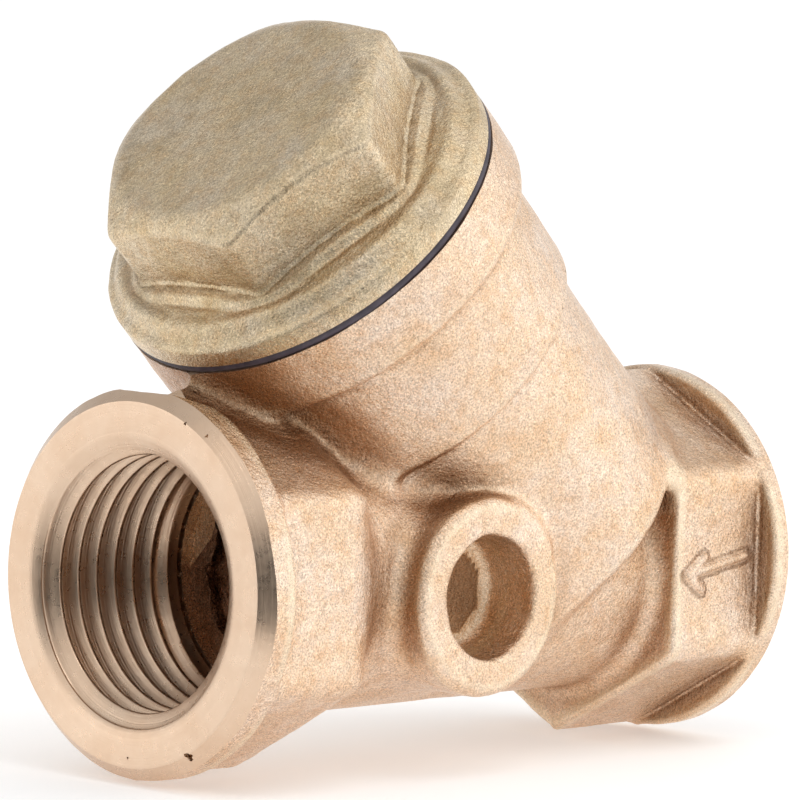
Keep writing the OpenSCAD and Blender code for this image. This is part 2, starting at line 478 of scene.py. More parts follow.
# the cored spaces: the rough way behind the land, the two waterways, the leg's bore, and the
# partition's lower and upper side up the leg
LAND_X = OUTLET_X + 14.7
ROUGH_WAY_R, OUTLET_WAY_R, INLET_WAY_R = 7.6, 6.4, 8.0
LEG_BORE_R = 10.5
PARTITION = (2.6, 5.2)

# the flow arrow's tip and the far ends of its shaft and barbs, as (x, z) on the front flat
FRONT_Y = -11
ARROW_TIP = (INLET_HEX[0] + 1.3, -0.8)
ARROW_ENDS = [(INLET_HEX[1] - 1.5, 0.4), (INLET_HEX[0] + 3.2, 0.5), (INLET_HEX[0] + 3.0, -2.0)]


def casting_outside(x, y, z):
    """The casting's outer form: run, leg and boss, with the fillets between them."""
    rho = hypot(y, z)
    hexa = hexagon(y, z, BODY_FLATS, BODY_CORNER)
    # each hexagon reaches under its collar, and only its inner end shows
    outlet_block = meet(hexa, np.maximum(x - OUTLET_HEX[1], OUTLET_X - 2 - x), 3.2)
    inlet_block = meet(hexa, np.maximum(INLET_HEX[0] - x, x - INLET_X - 2), COLLAR_EDGE)
    outlet_collar = rod(rho, x, COLLAR_R, OUTLET_X - 2, OUTLET_HEX[0], COLLAR_EDGE)
    inlet_collar = rod(rho, x, COLLAR_R, INLET_HEX[1], INLET_X + 2, COLLAR_EDGE)
    blocks = np.minimum(
        join(outlet_block, outlet_collar, 0.5), join(inlet_block, inlet_collar, 0.4)
    )
    neck = rod(rho, x, NECK_R, OUTLET_HEX[0] + 4, INLET_HEX[1] - 4, 0.5)
    # the neck's fillet is wider at the outlet's hexagon than at the inlet's
    run = join(blocks, neck, 2.2 - 0.8 * step_up(x, 25, 38))
    h, u, v = leg_place(x, y, z)
    across = hypot(u, v)
    leg = rod(across, h, BARREL_R, BARREL_H, MOUTH_H + 2, 0.9)
    leg = join(leg, rod(across, h, RING_B_R, RING_B_H, MOUTH_H + 2, 0.6), 0.6)
    leg = join(leg, rod(across, h, RING_R + 0.02, RING_A_H, MOUTH_H + 2, 0.8), 0.7)
    outside = join(run, leg, 1.7)
    boss = rod(hypot(x - BOSS_X, z - BOSS_Z), -y, BOSS_R, 4, BOSS_FACE, 0.75)
    return join(outside, boss, 1.3)


def casting_inside(x, y, z):
    """The cored spaces: both waterways and the leg's bore, with the partition between them."""
    rho = hypot(y, z)
    h, u, v = leg_place(x, y, z)
    ragged = 0.50 * noise(x, y, z, 2.4, 3) + 0.30 * noise(x, y, z, 0.9, 4)
    way_r = ROUGH_WAY_R + ragged * (1 - step_up(x, LAND_X + 0.2, LAND_X + 3))
    way_r = way_r + (OUTLET_WAY_R - ROUGH_WAY_R) * step_up(x, LAND_X + 0.6, LAND_X + 3.5)
    outlet = meet(rho - way_r, np.maximum(LAND_X - 1.4 - x, x - FOOT[0]), 0.3)
    outlet = meet(outlet, PARTITION[1] - h, 0.4)
    inlet = meet(rho - INLET_WAY_R, np.maximum(x - (INLET_X - 8.0), 12 - x), 0.3)
    inlet = meet(inlet, h - PARTITION[0], 0.4)
    bore = rod(hypot(u, v), h, LEG_BORE_R, PARTITION[1], MOUTH_H - 7.4, 0.3)
    return join(join(outlet, bore, 0.6), inlet, 0.1)


def boss_recess(x, y, z):
    """The blind, slightly tapered recess in the boss's face."""
    depth = -y - (BOSS_FACE - RECESS_DEPTH)
    r = RECESS_R - 0.25 + 0.06 * np.clip(depth, 0, 6)
    across = hypot(x - BOSS_X, z - BOSS_Z)
    return meet(across - r, -depth, 0.7)


def arrow_reach(x, z):
    """How far a point is from the middle of the cast flow arrow's strokes."""
    best = np.full(np.shape(x), 9.0)
    ax, az = ARROW_TIP
    for bx, bz in ARROW_ENDS:
        length = (bx - ax) ** 2 + (bz - az) ** 2
        t = np.clip(((x - ax) * (bx - ax) + (z - az) * (bz - az)) / length, 0, 1)
        best = np.minimum(best, hypot(x - ax - t * (bx - ax), z - az - t * (bz - az)))
    return best


def arrow_height(x, y, z):
    """How far the flow arrow stands out of the inlet hexagon's front flat."""
    return 0.36 * (1 - step_up(arrow_reach(x, z), 0.12, 0.50)) * (y < FRONT_Y)


def arrow_foot_shade(x, y, z):
    """Painted shade along the foot of the flow arrow."""
    return 0.7 * np.exp(-(((arrow_reach(x, z) - 0.56) / 0.2) ** 2)) * (y < FRONT_Y)


def casting(x, y, z):
    """The whole casting: uneven skin, parting seam, arrow, recess and ragged cored spaces."""
    outside = casting_outside(x, y, z)
    grain = 0.07 * noise(x, y, z, 5.5) + 0.05 * noise(x, y, z, 2.1, 1)
    grain = grain + 0.028 * noise(x, y, z, 0.95, 2)
    seam = 0.16 * np.exp(-((y / 0.32) ** 2)) * step_up(noise(x, 0 * y, z, 6.0, 9), -0.6, 0.5)
    outside = outside - grain - seam - arrow_height(x, y, z)
    rough = 0.16 * noise(x, y, z, 1.7, 5) + 0.07 * noise(x, y, z, 0.8, 6)
    solid = meet(outside, -boss_recess(x, y, z) + rough * 0.5, 0.35)
    return np.maximum(solid, -casting_inside(x, y, z) + rough)


# the pipe thread's pitch and depth, the radius of its rounding as a share of the pitch, and half
# the angle that the rounding turns through
PIPE_PITCH, PIPE_DEPTH = 1.814, 1.162
PIPE_ARC, HALF_ARC_DEG = 0.1373, 62.5
# how many flats stand for a circle on the tools of the run's two ends
TURNED_SIDES = 160


def whitworth():
    """One turn of the pipe thread as (phase, depth) points, from crest to crest."""
    arc_r = PIPE_ARC * PIPE_PITCH
    half = math.radians(HALF_ARC_DEG)
    steps = [-1.0, -0.6, -0.2, 0.2, 0.6, 1.0]
    crest = [(arc_r * math.sin(t * half), arc_r * (1 - math.cos(t * half))) for t in steps]
    root = [(PIPE_PITCH / 2 + a, PIPE_DEPTH - b) for a, b in crest]
    flank = ((crest[5][0] + root[0][0]) / 2, (crest[5][1] + root[0][1]) / 2)
    row = crest[3:] + [flank] + root + [(PIPE_PITCH - flank[0], flank[1])]
    return row + [(PIPE_PITCH - a, b) for a, b in (crest[5], crest[4], crest[3])]


def tap_tool(name, low, turns, deep, inward, sides=TURNED_SIDES):
    """A tap: a closed tube whose rows follow the pipe thread's helix up from low.

    Towards its deep end the form fades out, as a tap's lead does.
    """
    form = whitworth()
    shank = PORT_R - 0.06
    angle = np.arange(sides) * 2 * math.pi / sides
    lead = np.arange(sides) / sides * PIPE_PITCH
    rows = [place(X_FRAME, np.full(sides, low - 0.3), np.full(sides, shank), angle)]
    for t in range(turns):
        for phase, depth in form:
            along = low + t * PIPE_PITCH + phase + lead
            lead_in = np.clip((deep - along) * inward / (1.2 * PIPE_PITCH), 0, 1)
            radius = shank + (PORT_R + depth - shank) * lead_in**0.7
            rows.append(place(X_FRAME, along, radius, angle))
    rows.append(place(X_FRAME, low + turns * PIPE_PITCH + lead, np.full(sides, shank), angle))
    top = low + (turns + 1) * PIPE_PITCH + 0.3
    rows.append(place(X_FRAME, np.full(sides, top), np.full(sides, shank), angle))
    step = len(form)
    last = len(rows) - 2
    faces = []
    for i in range(len(rows) - 1):
        for k in range(sides - 1):
            a = i * sides + k
            faces.append([a, a + 1, a + 1 + sides, a + sides])
    end = sides - 1
    # across the seam a row joins the row one turn further on
    for i in range(1, last - step):
        a = i * sides + end
        b = (i + step) * sides
        faces.append([a, b, b + sides, a + sides])
    start = [end, 0] + [i * sides for i in range(1, step + 2)] + [sides + end]
    finish = [i * sides + end for i in range(last - step, last + 2)] + [(last + 1) * sides]
    finish += [last * sides]
    faces += [start, finish[::-1]]
    faces.append(list(range(sides))[::-1])
    faces.append([(last + 1) * sides + k for k in range(sides)])
    return make_object(name, np.concatenate(rows), faces)


def port_tools(end, face, inward, thread_end, land_end, depth, core_r):
    """A tapped port: the drill with its groove and cone point, the countersink and the tap."""
    groove = PORT_R + 0.8
    drill = [(-5.0, PORT_R), (land_end, PORT_R), (land_end + 0.04, groove)]
    drill += [(land_end + GROOVE, groove), (land_end + GROOVE + 0.02, CONE_R), (depth, core_r)]
    drill += [(depth + 0.15, core_r - 0.3)]
    sink = [(-5.0, COUNTERSINK_R), (0.0, COUNTERSINK_R), (0.10, COUNTERSINK_R - 0.32)]
    sink += [(1.0, PORT_R - 0.01), (1.6, PORT_R - 0.9)]
    tools = []
    for kind, profile in (("drill", drill), ("sink", sink)):
        points = [(face + inward * t, r) for t, r in profile]
        tools.append(turned(end + "_" + kind, X_FRAME, points[:: int(inward)], TURNED_SIDES))
    reach = thread_end + 0.8 + PIPE_PITCH
    turns = math.ceil((reach + 1.2) / PIPE_PITCH)
    low = face + reach - turns * PIPE_PITCH if inward > 0 else face - reach
    deep = face + inward * (reach - PIPE_PITCH)
    tools.append(tap_tool(end + "_tap", low, turns - 1, deep, inward))
    return tools


def face_tool(name, face, inward):
    """The facing and bevelling cut at one end of the run."""
    profile = [
        (face - 4 * inward, 0.01),
        (face, 0.01),
        (face, FACE_R),
        (face + 3 * inward, FACE_R + 3 * BEVEL_RISE),
        (face + 3 * inward, 22.0),
        (face - 4 * inward, 22.0),
    ]
    return turned(name, X_FRAME, profile[:: int(inward)], TURNED_SIDES, closed=True)


# the cap's thread: its pitch, its (minor, major) radius in the body and on the cap, the turned
# relief below it in the body, and the lower end of the cap's plug
CAP_PITCH = 1.5
BODY_THREAD = (11.19, 12.12)
CAP_THREAD = (11.06, 11.98)
RELIEF_R = 12.2
PLUG_LOW = MOUTH_H - 6.4

# the screen's seats in the body and the cap, and the throat below the lower one
SEAT_R = SCREEN_R + 0.05
THROAT_R = 7.8
# a radius outside everything on the leg
CLEAR_R = 20.0
# the flats round the leg's threads, and the gap between their rows
THREAD_SIDES, THREAD_GAP = 112, 0.13


def leg_tool():
    """The seat, the thread relief, the cap's thread and the mouth of the leg."""
    cut = thread(*BODY_THREAD, CAP_PITCH)
    profile = [(1.9, THROAT_R), (SCREEN_LOW - 0.05, THROAT_R), (SCREEN_LOW - 0.04, SEAT_R)]
    profile += [(PARTITION[1] + 1, SEAT_R), (PLUG_LOW - 2.0, 10.2)]
    profile += [(PLUG_LOW - 1.5, RELIEF_R), (PLUG_LOW - 0.6, RELIEF_R)]

    def radius(along, angle):
        countersink = BODY_THREAD[0] + np.maximum(0, along - MOUTH_H + 0.9)
        return np.maximum(cut(along, angle), countersink)

    heights = stations(PLUG_LOW - 0.55, MOUTH_H + 0.3, THREAD_GAP)
    profile += [(float(t), radius) for t in heights]
    profile += [(MOUTH_H + 7, RELIEF_R)]
    return turned("leg_tool", LEG_FRAME, profile, THREAD_SIDES)


def mouth_tool():
    """Faces the leg's mouth."""
    high = MOUTH_H + 5
    profile = [(MOUTH_H, 0.01), (MOUTH_H, CLEAR_R), (high, CLEAR_R), (high, 0.01)]
    return turned("mouth_tool", LEG_FRAME, profile, 64, closed=True)


def body_machined(centre, normal):
    """True for the faces that a tool has cut."""
    x, y, z = centre.T
    rho = hypot(y, z)
    h, u, v = leg_place(x, y, z)
    across = hypot(u, v)
    cut = np.zeros(len(centre), bool)
    for face, inward, _, land_end, depth, core_r in PORTS:
        t = (x - face) * inward
        cut |= np.abs(t) < 0.01
        cone = FACE_R + BEVEL_RISE * t
        cut |= (np.abs(rho - cone) < 0.03) & (t > -0.01) & (t < 2) & (normal[:, 0] * inward < -0.5)
        cut |= (t < land_end + GROOVE + 0.01) & (rho < 11.2)
        point = CONE_R + (core_r - CONE_R) * (t - land_end - GROOVE) / (depth - land_end - GROOVE)
        cut |= (t > land_end) & (t < depth) & (np.abs(rho - point) < 0.03)
    cut |= np.abs(h - MOUTH_H) < 0.01
    cut |= (across < 12.5) & (h > PLUG_LOW - 1.9)
    cut |= (h > 2.5) & (h < PARTITION[1] + 1) & (np.abs(across - SEAT_R) < 0.02)
    cut |= (h > 2.0) & (h < SCREEN_LOW) & (np.abs(across - THROAT_R) < 0.02)
    cut |= (np.abs(h - SCREEN_LOW + 0.045) < 0.03) & (across < SCREEN_R + 0.1)
    return cut


# each nick: its radius and its turn in degrees from the bottom towards the front, then its
# half width and its depth
NICKS = (
    ((13.35, 29.0), (0.75, 1.2)),
    ((12.5, 1.0), (0.24, 0.3)),
    ((13.2, 156.0), (0.30, 0.35)),
    ((13.5, 147.0), (0.28, 0.4)),
)


def nick_tools():
    """Small ragged pits and knocks in the outlet's turned face and its edge."""
    tools = []
    for k, ((radius, turn), (size, depth)) in enumerate(NICKS):
        a = math.radians(turn)
        origin = np.array([OUTLET_X, -radius * math.sin(a), -radius * math.cos(a)])
        axes = (origin, X_FRAME[1], X_FRAME[2], X_FRAME[3])

        def ragged(along, angle, k=k, size=size, depth=depth):
            fall = max(0.15, 1 - max(0.0, along - OUTLET_X) / depth) ** 0.5
            wave = 1 + 0.28 * np.sin(3 * angle + k) + 0.2 * np.sin(5 * angle + 2 * k + along * 4)
            return size * fall * wave

        profile = [(float(t), ragged) for t in np.linspace(-0.6, depth, 7)]
        tools.append(turned("nick_tool", axes, profile, 14))
    return tools


# faces over which the surface bends more than this many degrees are split once more
BEND = 24


def build_body(step):
    """The casting, meshed, cut by its tools, with a material number for each face."""
    low = np.array([OUTLET_X - 2.6, -17.0, -15.6])
    high = np.array([INLET_X + 2.6, 17.0, 40.0])
    points, quads = surface_net(casting, low, high, step)
    points = settle(casting, points)
    body = make_object("body_casting", points, quads)

    def near_arrow(p):
        spread = abs(p[0] - INLET_HEX[0] - 4.5) < 5.2 and abs(p[2] + 0.7) < 2.4
        return p[1] < FRONT_Y and spread

    refine(body, casting, BEND, near_arrow)
    tools = [
        face_tool("outlet_face_tool", OUTLET_X, 1.0),
        face_tool("inlet_face_tool", INLET_X, -1.0),
        mouth_tool(),
        leg_tool(),
    ]
    tools += port_tools("outlet", *PORTS[0])
    tools += port_tools("inlet", *PORTS[1])
    tools += nick_tools()
    carve(body, tools)
    centre, normal = face_centres(body)
    core = casting_inside(*centre.T) < 0.45
    which = np.where(body_machined(centre, normal), MACHINED, np.where(core, CORE, CAST))
    return body, which.astype(np.int32)


# ---------------------------------------------------------------- the cap

CAP_FLATS = 22.0
CAP_TOP = MOUTH_H + 10.4
RIM_HIGH = FLANGE_LOW + 1.5
# the flange's upper side and the bevel on the hexagon's top: their rise for each unit inwards
FLANGE_SLOPE = 0.74
BEVEL_SLOPE, BEVEL_R = 0.62, 9.9


def cap_blank(x, y, z):
    """The cap as cast: a coned flange with a soft ripple, a foot pad and the bevelled hexagon."""
    h, u, v = leg_place(x, y, z)
    across = hypot(u, v)
    ripple = 0.15 * np.cos((across - 14.0) * 2 * math.pi / 1.9)
    ripple = ripple * step_up(across, 12.4, 13.2) * (1 - step_up(across, 14.8, 15.5))
    cone = h - RIM_HIGH - 0.15 - ripple - (RING_R - 0.35 - across) * FLANGE_SLOPE
    cone = cone / math.hypot(1, FLANGE_SLOPE)
    flange = meet(across - RING_R - 0.14, cone, 0.3)
    flange = meet(flange, h - (CAP_TOP - 6.85), 0.5)
    foot = meet(hexagon(v, u, CAP_FLATS + 2.3, 2.2), across - 13.35, 0.9)
    rise = (h - CAP_TOP + 6.1 + 0.35 * (across - 11.5)) / 1.06
    flange = join(flange, meet(foot, rise, 0.35), 0.45)
    head = meet(hexagon(v, u, CAP_FLATS, 0.5), h - CAP_TOP, 0.22)
    bevel = (h - CAP_TOP - (BEVEL_R - across) * BEVEL_SLOPE) / math.hypot(1, BEVEL_SLOPE)
    head = meet(head, bevel, 0.28)
    solid = join(flange, head, 0.3)
    solid = np.maximum(solid, PLUG_LOW - 1 - h)
    grain = 0.08 * noise(x, y, z, 4.5, 21) + 0.05 * noise(x, y, z, 1.8, 22)
    return solid - grain - 0.025 * noise(x, y, z, 0.8, 23)


def cap_outside_tool():
    """Turns the plug's thread and the flange's underside."""
    cut = thread(*CAP_THREAD, CAP_PITCH)

    def radius(along, angle):
        lead = CAP_THREAD[0] - 0.2 + np.maximum(0, along - PLUG_LOW)
        relief = CAP_THREAD[0] + 8 * np.maximum(0, FLANGE_LOW - 1.0 - along)
        return np.minimum(np.minimum(cut(along, angle), lead), relief)

    heights = stations(PLUG_LOW - 2, FLANGE_LOW, THREAD_GAP)
    profile = [(float(t), radius) for t in heights]
    profile += [(FLANGE_LOW, CLEAR_R), (PLUG_LOW - 2, CLEAR_R)]
    return turned("plug_tool", LEG_FRAME, profile, THREAD_SIDES, closed=True)


def cap_tools():
    """The cuts on the cap: its plug's end, its rim, its thread and its hollow."""
    low, under = PLUG_LOW - 6, FLANGE_LOW - 1
    bottom = [(low, 0.01), (PLUG_LOW, 0.01), (PLUG_LOW, CLEAR_R), (low, CLEAR_R)]
    rim = [(under, RING_R), (RIM_HIGH, RING_R), (RIM_HIGH, CLEAR_R), (under, CLEAR_R)]
    hollow = [
        (PLUG_LOW - 8, SEAT_R),
        (SCREEN_HIGH + 0.3, SEAT_R),
        (SCREEN_HIGH + 0.31, 7.0),
        (MOUTH_H + 4.4, 6.7),
        (MOUTH_H + 5.0, 6.1),
    ]
    return [
        turned("bottom_tool", LEG_FRAME, bottom, 64, closed=True),
        turned("rim_tool", LEG_FRAME, rim, 200, closed=True),
        cap_outside_tool(),
        turned("hollow_tool", LEG_FRAME, hollow, 96),
    ]


def build_cap(step):
    """The cap, meshed, cut by its tools, with a material number for each face."""
    reach = (RING_R + 1.5) * np.array([0.72, 1.0, 0.72])
    low_end, high_end = FOOT + LEG * (PLUG_LOW - 2), FOOT + LEG * (CAP_TOP + 1)
    low = np.minimum(low_end, high_end) - reach
    high = np.maximum(low_end, high_end) + reach
    points, quads = surface_net(cap_blank, low, high, step)
    points = settle(cap_blank, points)
    cap = make_object("cap_brass", points, quads)
    refine(cap, cap_blank, BEND)
    carve(cap, cap_tools())
    centre, normal = face_centres(cap)
    h, u, v = leg_place(*centre.T)
    across = hypot(u, v)
    cut = (h < FLANGE_LOW + 0.01) | (across < 9.3)
    cut &= h < CAP_TOP - 1.5
    return cap, cut.astype(np.int32)


# ---------------------------------------------------------------- gasket and screen


def build_gasket():
    """A flat ring, squeezed a little proud at its middle."""
    inner = 12.2
    middle, half = (GASKET_LOW + GASKET_HIGH) / 2, (GASKET_HIGH - GASKET_LOW) / 2

    def bulge(along, angle):
        t = (along - middle) / half
        wave = 0.03 * np.sin(5 * angle + 1) + 0.02 * np.sin(13 * angle)
        return RING_R - 0.04 + wave - 0.10 * t * t

    profile = [(GASKET_LOW, inner)]
    profile += [(float(t), bulge) for t in np.linspace(GASKET_LOW, GASKET_HIGH, 7)]
    profile += [(GASKET_HIGH, inner), (middle, inner - 0.05)]
    return turned("gasket_ring", LEG_FRAME, profile, 192, closed=True)


def build_screen():
    """A tube of perforated sheet: every hole is a real one."""
    around, rows, hole = 20, 9, 0.7
    wall = 0.5
    mid_r = SCREEN_R - wall / 2
    pitch = (SCREEN_HIGH - SCREEN_LOW - 9) / rows
    wide = 2 * math.pi * mid_r / around
    side = [(-2, -2), (-1, -2), (0, -2), (1, -2), (2, -2), (2, -1), (2, 0), (2, 1)]
    side += [(2, 2), (1, 2), (0, 2), (-1, 2), (-2, 2), (-2, 1), (-2, 0), (-2, -1)]
    index, points, faces = {}, [], []

    def vertex(s, t):
        key = (round(s % (wide * around), 4) % round(wide * around, 4), round(t, 4))
        if key not in index:
            index[key] = len(points)
            angle = s / mid_r
            points.append(place(LEG_FRAME, t, mid_r, angle))
        return index[key]

    base = SCREEN_LOW + 3
    for j in range(rows):
        for i in range(around):
            cs = (i + 0.5 * (j % 2)) * wide
            ct = base + pitch * (j + 0.5)
            outer, inner = [], []
            for a, b in side:
                outer.append(vertex(cs + a * wide / 4, ct + b * pitch / 4))
                turn = math.atan2(b * pitch, a * wide)
                inner.append(vertex(cs + hole * math.cos(turn), ct + hole * math.sin(turn)))
            for k in range(16):
                m = (k + 1) % 16
                faces.append([outer[k], outer[m], inner[m], inner[k]])
    quarter = wide / 4
    for low, high in ((SCREEN_LOW, base), (base + pitch * rows, SCREEN_HIGH)):
        levels = stations(low, high, 1.5)
        for a, b in zip(levels[:-1], levels[1:]):
            for i in range(around * 4):
                s, e = i * quarter, (i + 1) * quarter
                faces.append([vertex(s, a), vertex(e, a), vertex(e, b), vertex(s, b)])
    screen = make_object("screen_tube", points, faces)
    shell = screen.modifiers.new("sheet", "SOLIDIFY")
    shell.thickness = wall * MM * 0.98
    shell.offset = 0
    graph = bpy.context.evaluated_depsgraph_get()
    made = bpy.data.meshes.new_from_object(screen.evaluated_get(graph))
    screen.modifiers.clear()
    screen.data = made
    return screen


# ---------------------------------------------------------------- materials


class Nodes:
    """A short way to write the node tree of a material or of the world.

    `place` is where a point of the object is, and `way` a direction in the world.
    """

    def __init__(self, owner):
        owner.use_nodes = True
        self.tree = owner.node_tree
        coordinates = self.add("ShaderNodeTexCoord").outputs
        self.place = coordinates["Object"]
        self.way = coordinates["Generated"]

    @classmethod
    def of_material(cls, name):
        """The nodes of a new material, whose shader's sockets are filled by set()."""
        material = bpy.data.materials.new(name)
        n = cls(material)
        n.material = material
        n.shader = n.tree.nodes["Principled BSDF"]
        return n

    def add(self, kind, **settings):
        node = self.tree.nodes.new(kind)
        for key, value in settings.items():
            setattr(node, key, value)
        return node

    def link(self, source, target):
        self.tree.links.new(source, target)

    def set(self, socket, value):
        """Gives one of the shader's sockets a uniform value, or what a node puts out."""
        target = self.shader.inputs[socket]
        if isinstance(value, (int, float, tuple)):
            target.default_value = value
        else:
            self.link(value, target)

    def noise(self, per_metre, detail=2.0, rough=0.5, source=None, dims="3D"):
        node = self.add("ShaderNodeTexNoise", noise_dimensions=dims)
        node.inputs["Scale"].default_value = per_metre
        node.inputs["Detail"].default_value = detail
        node.inputs["Roughness"].default_value = rough
        if dims == "1D":
            self.link(source, node.inputs["W"])
        else:
            self.link(source or self.place, node.inputs["Vector"])
        return node.outputs["Fac"]

    def ramp(self, source, stops):
        node = self.add("ShaderNodeValToRGB")
        bar = node.color_ramp
        while len(bar.elements) < len(stops):
            bar.elements.new(0.5)
        for element, (position, colour) in zip(bar.elements, stops):
            element.position = position
            if not isinstance(colour, tuple):
                colour = (colour,) * 3
            element.color = (*colour, 1)
        self.link(source, node.inputs["Fac"])
        return node.outputs["Color"]

    def mix(self, factor, a, b, blend="MIX"):
        node = self.add("ShaderNodeMix", data_type="RGBA", blend_type=blend)
        for socket, value in ((node.inputs[0], factor), (node.inputs[6], a), (node.inputs[7], b)):
            if isinstance(value, (int, float)):
                socket.default_value = value
            elif isinstance(value, tuple):
                socket.default_value = (*value, 1)
            else:
                self.link(value, socket)
        return node.outputs[2]

    def math(self, operation, a, b=0.0):
        node = self.add("ShaderNodeMath", operation=operation)
        for socket, value in zip(node.inputs, (a, b)):
            if isinstance(value, (int, float)):
                socket.default_value = value
            else:
                self.link(value, socket)
        return node.outputs[0]

    def bump(self, height, strength, distance, under=None):
        node = self.add("ShaderNodeBump")
        node.inputs["Strength"].default_value = strength
        node.inputs["Distance"].default_value = distance
        self.link(height, node.inputs["Height"])
        if under is not None:
            self.link(under, node.inputs["Normal"])
        return node.outputs["Normal"]

    def split(self, source):
        node = self.add("ShaderNodeSeparateXYZ")
        self.link(source, node.inputs[0])
        return node.outputs

    def dot(self, source, direction):
        """How far a place or a direction reaches along a given direction."""
        node = self.add("ShaderNodeVectorMath", operation="DOT_PRODUCT")
        self.link(source, node.inputs[0])
        node.inputs[1].default_value = tuple(direction)
        return node.outputs["Value"]

    def attribute(self, name):
        return self.add("ShaderNodeAttribute", attribute_name=name).outputs["Fac"]


def cast_metal(name, pale, mid, dark, tint, corner_shade, rub_and_highlight=0.5, smudge=0.12):
    """Sand-cast metal: sparkling grain over soft patches, with painted shade in corners and
    hollows, and edges paled by wear and painted highlight.
    """
    n = Nodes.of_material(name)
    colour = n.ramp(n.noise(210, 4.0, 0.6), [(0.34, mid), (0.50, pale), (0.66, tint)])
    spots = n.noise(800, 5.0, 0.75)
    speckle = n.ramp(spots, [(0.36, (0.92, 0.84, 0.76)), (0.56, 1.0)])
    colour = n.mix(1.0, colour, speckle, "MULTIPLY")
    flecks = n.ramp(n.noise(6800, 2.0, 0.6), [(0.30, 0.66), (0.50, 1.0), (0.68, 1.30)])
    colour = n.mix(1.0, colour, flecks, "MULTIPLY")
    # edges paled towards a lighter copy of the pale colour: part rubbed wear, part painted
    # highlight
    rubbed_and_highlit = n.ramp(n.attribute("edge_rub_and_highlight"), [(0.10, 0.0), (0.45, rub_and_highlight)])
    colour = n.mix(rubbed_and_highlit, colour, tuple(min(0.95, 1.25 * c) for c in pale))
    # painted shade in wide hollows: the colour is darkened and browned where the hollow value is
    # high
    hollow = n.ramp(n.attribute("hollow"), [(0.17, 1.0), (0.75, (0.60, 0.50, 0.42))])
    colour = n.mix(1.0, colour, hollow, "MULTIPLY")
    # painted shade in tight corners: the colour goes towards the dark one where the crevice value
    # is high, with ragged edges
    ragged = n.math("MULTIPLY", n.math("SUBTRACT", 0.5, spots), 0.9)
    deep = n.math("ADD", n.attribute("crevice"), ragged)
    deep = n.ramp(deep, [(0.24, 0.0), (0.75, corner_shade)])
    colour = n.mix(deep, colour, dark)
    stain = n.ramp(n.noise(480, 5.0, 0.7), [(0.25, 1.0), (0.34, 0.0)])
    colour = n.mix(n.math("MULTIPLY", stain, 0.3), colour, dark)
    soiled = n.ramp(n.noise(150, 5.0, 0.75), [(0.50, 0.0), (0.66, smudge)])
    n.set("Base Color", n.mix(soiled, colour, dark))
    n.set("Metallic", 1.0)
    n.set("Roughness", n.ramp(n.noise(5200, 2.0), [(0.3, 0.20), (0.7, 0.36)]))
    torn = n.math("MULTIPLY", n.noise(1900, 4.0, 0.7), n.math("ADD", deep, 0.12))
    skin = n.bump(torn, 1.0, 0.0006)
    skin = n.bump(n.noise(1100, 4.0, 0.65), 1.0, 0.00013, skin)
    n.set("Normal", n.bump(n.noise(5600, 3.0, 0.65), 1.0, 0.00009, skin))
    return n.material


def machined_metal(name, pale, mid, round_leg=False):
    """Turned metal: fine tool marks round the pipe's axis or along the leg, and a low sheen."""
    n = Nodes.of_material(name)
    if round_leg:
        marks = n.noise(9000, 3.0, 0.7, n.dot(n.place, LEG), "1D")
    else:
        x, y, z = n.split(n.place)
        ring = n.math("SQRT", n.math("ADD", n.math("MULTIPLY", y, y), n.math("MULTIPLY", z, z)))
        along = n.math("MULTIPLY", n.noise(7000, 2.0, 0.6, x, "1D"), 0.6)
        marks = n.math("ADD", n.noise(9000, 3.0, 0.7, ring, "1D"), along)
    n.set("Base Color", n.ramp(n.noise(230, 3.0, 0.6), [(0.32, mid), (0.62, pale)]))
    n.set("Metallic", 1.0)
    n.set("Roughness", n.ramp(n.noise(1300, 4.0, 0.6), [(0.3, 0.24), (0.75, 0.38)]))
    normal = n.bump(marks, 0.7, 0.00003)
    n.set("Normal", n.bump(n.noise(2600, 3.0, 0.6), 0.18, 0.00004, normal))
    return n.material


def rubber(name):
    """Dark fibre-filled rubber, nearly matt."""
    n = Nodes.of_material(name)
    dark, pale = (0.045, 0.034, 0.046), (0.085, 0.068, 0.088)
    n.set("Base Color", n.ramp(n.noise(900, 4.0), [(0.35, dark), (0.7, pale)]))
    n.set("Roughness", 0.55)
    n.set("Normal", n.bump(n.noise(4000, 3.0), 0.4, 0.00003))
    return n.material


def steel(name):
    """Rolled stainless sheet, its fine lines running round the leg."""
    n = Nodes.of_material(name)
    lines = n.noise(6000, 2.0, 0.6, n.dot(n.place, LEG), "1D")
    dull, bright = (0.50, 0.50, 0.51), (0.62, 0.62, 0.61)
    n.set("Base Color", n.ramp(n.noise(300, 3.0), [(0.3, dull), (0.7, bright)]))
    n.set("Metallic", 1.0)
    n.set("Roughness", n.ramp(lines, [(0.3, 0.28), (0.7, 0.42)]))
    n.set("Normal", n.bump(lines, 0.3, 0.00002))
    return n.material


def pale_floor(name):
    """A plain pale sheet that gives off a little light of its own."""
    n = Nodes.of_material(name)
    n.set("Base Color", n.ramp(n.noise(8, 3.0), [(0.3, 0.90), (0.7, 0.93)]))
    n.set("Roughness", 0.8)
    n.set("Specular IOR Level", 0.2)
    n.set("Emission Color", (1, 1, 1, 1))
    n.set("Emission Strength", 0.28)
    return n.material


def dress(thing, which, *materials):
    """Gives the object its materials, and each face its own."""
    thing.data.materials.clear()
    for m in materials:
        thing.data.materials.append(m)
    if which is not None:
        thing.data.polygons.foreach_set("material_index", which)
    return thing
